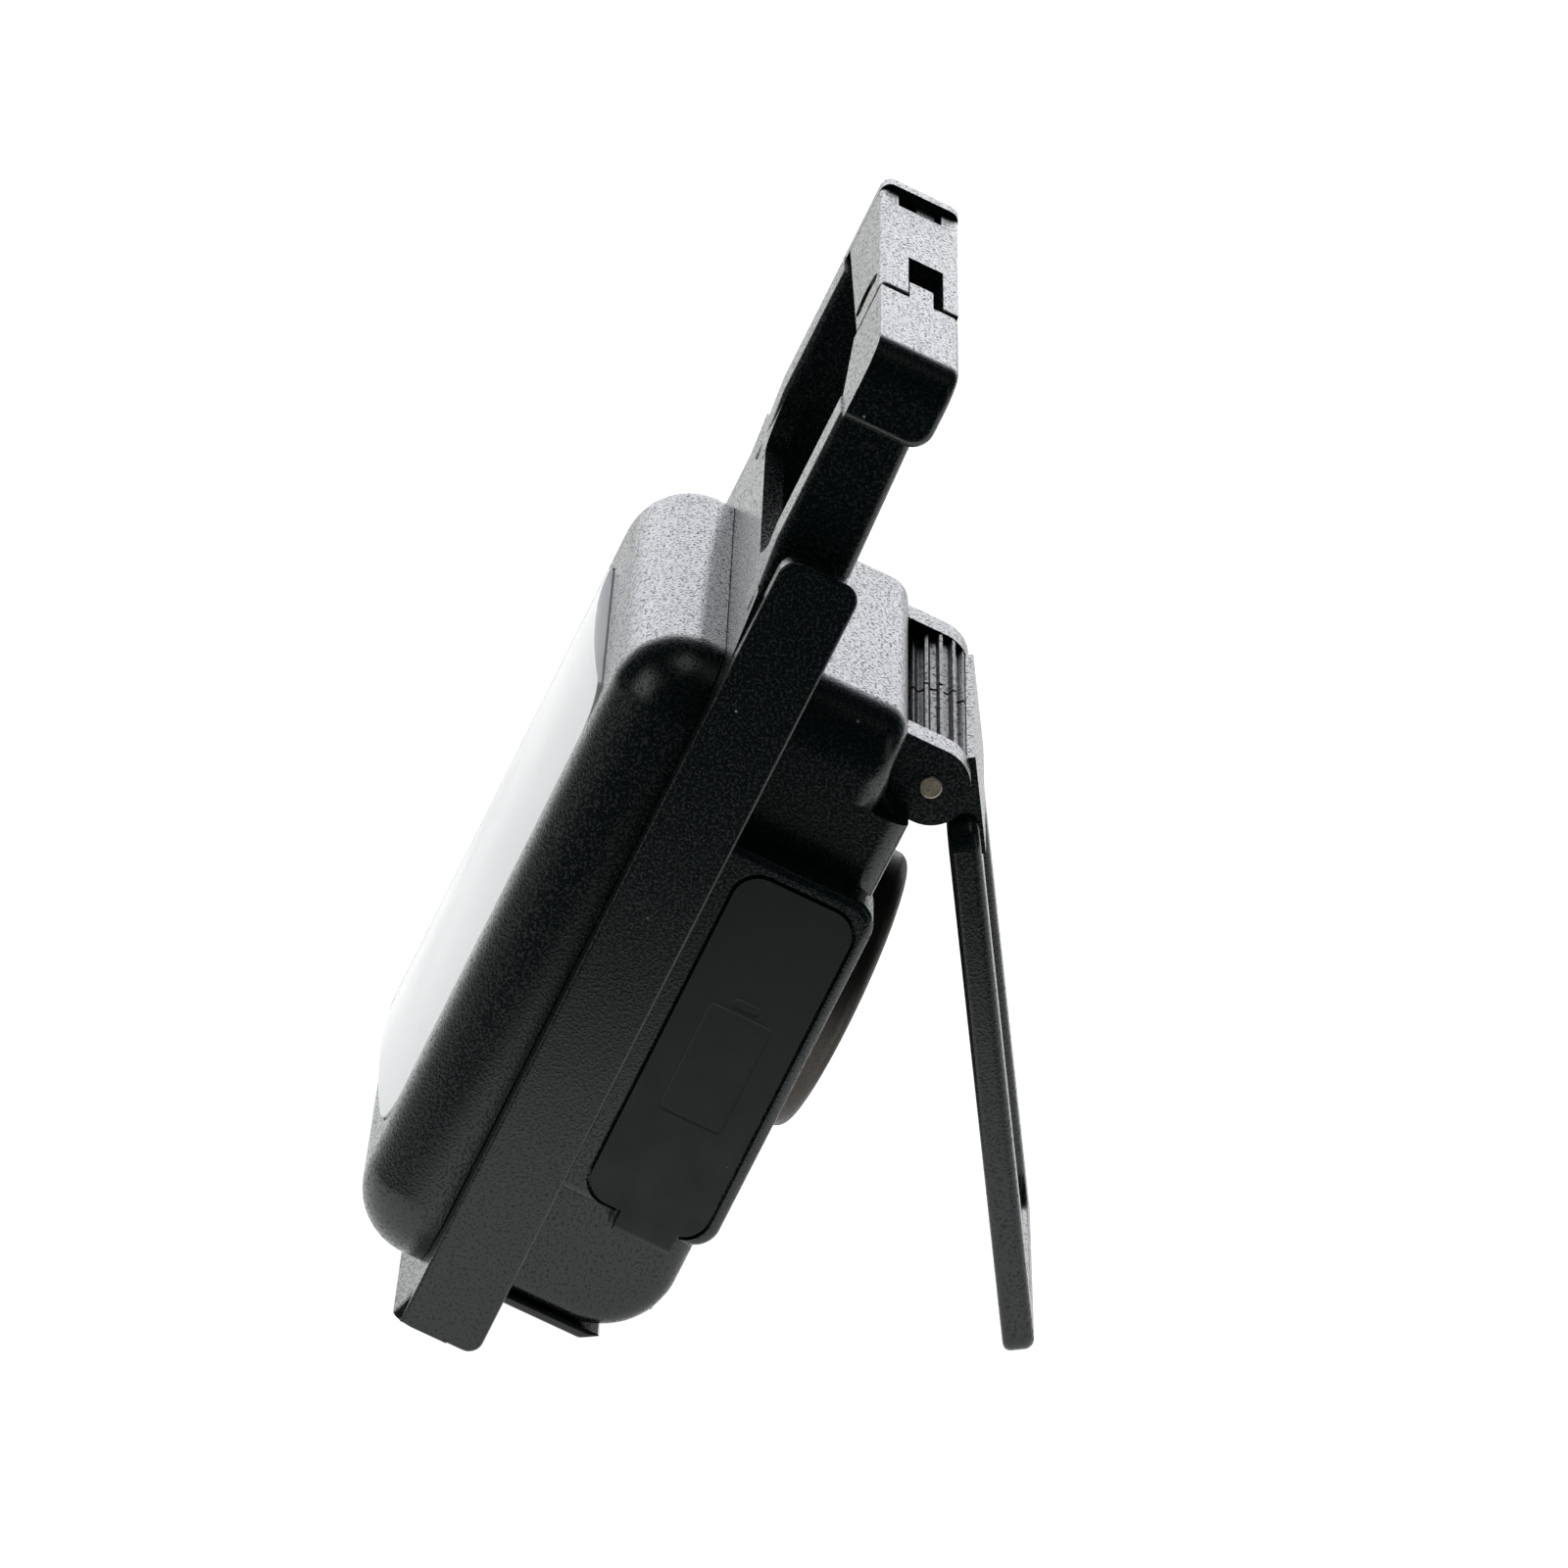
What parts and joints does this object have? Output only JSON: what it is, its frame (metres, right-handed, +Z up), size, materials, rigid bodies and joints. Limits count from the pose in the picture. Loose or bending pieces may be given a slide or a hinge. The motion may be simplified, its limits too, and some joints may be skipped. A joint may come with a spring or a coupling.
{
  "type": "work light",
  "caption": "Compact rechargeable work light with a square diffuser, gated hook handle, rear magnet, covered ports and a swing-out stand.",
  "frame": {"origin": "centre of the bounding box on the floor that the lamp stands on", "axes": "+Z up, -Y the way the lens faces, +X towards the side with the covered ports"},
  "size_m": [0.1, 0.0896, 0.1388],
  "materials": {
    "black_shell": "fine spark-textured moulding",
    "barrel_black": "satin moulding",
    "strip_gloss": "gloss moulding",
    "lens_white": "milky diffuser",
    "cover_rubber": "smooth matt rubber",
    "button_rubber": "smooth matt rubber",
    "seal_rubber": "smooth",
    "white_plastic": "moulded",
    "indicator_clear": "clear moulding",
    "board_green": "solder mask",
    "switch_plastic": "moulded",
    "spreader_aluminium": "stamped",
    "screw_steel": "zinc plated",
    "pin_steel": "ground bright",
    "socket_steel": "nickel plated",
    "cup_steel": "nickel plated",
    "magnet_plated": "nickel plated",
    "cell_wrap": "shrink wrap"
  },
  "bodies": {
    "lamp": {"main_frame": "black_shell", "front_shell": "black_shell", "rear_housing": "black_shell", "socket_bezel": "black_shell", "base_strip": "strip_gloss", "lens": "lens_white", "lens_gasket": "seal_rubber", "housing_seal": "seal_rubber", "reflector_tray": "white_plastic", "battery_cradle": "white_plastic", "indicator_window": "indicator_clear", "led_board": "board_green", "control_board": "board_green", "switch_board": "board_green", "power_switch": "switch_plastic", "heat_spreader": "spreader_aluminium", "spreader_screws": "screw_steel", "board_screws": "screw_steel", "housing_screws": "screw_steel", "magnet_screw": "screw_steel", "detent_spring": "screw_steel", "gate_spring": "screw_steel", "hinge_pin": "pin_steel", "gate_pin": "pin_steel", "usb_a_socket": "socket_steel", "usb_c_socket": "socket_steel", "magnet_cup": "cup_steel", "magnet": "magnet_plated", "battery_cell_left": "cell_wrap", "battery_cell_right": "cell_wrap"},
    "gate": {"gate": "black_shell"},
    "cover": {"port_cover": "cover_rubber"},
    "button": {"power_button": "button_rubber"},
    "stand": {"stand": "black_shell", "hinge_barrel_near": "barrel_black", "hinge_barrel_far": "barrel_black"}
  },
  "joints": [
    {"name": "stand_hinge", "type": "hinge", "parent": "lamp", "child": "stand", "pos_m": [0, 0.023, 0.07721], "axis": [1, 0, 0], "range_deg": [-32.2, 87.8]},
    {"name": "gate_pivot", "type": "hinge", "parent": "lamp", "child": "gate", "pos_m": [0.0035, 0.01367, 0.13231], "axis": [0, 0.9405, -0.3398], "range_deg": [0, 75], "stiffness_Nm_per_rad": 0.008, "springref_deg": -28.65},
    {"name": "cover_hinge", "type": "hinge", "parent": "lamp", "child": "cover", "pos_m": [0.045, -0.00776, 0.01725], "axis": [0, 0.9405, -0.3398], "range_deg": [0, 110]},
    {"name": "button_press", "type": "slide", "parent": "lamp", "child": "button", "axis": [1, 0, 0], "range_m": [0, 0.0008], "stiffness_N_per_m": 700, "springref_m": -0.001}
  ]
}
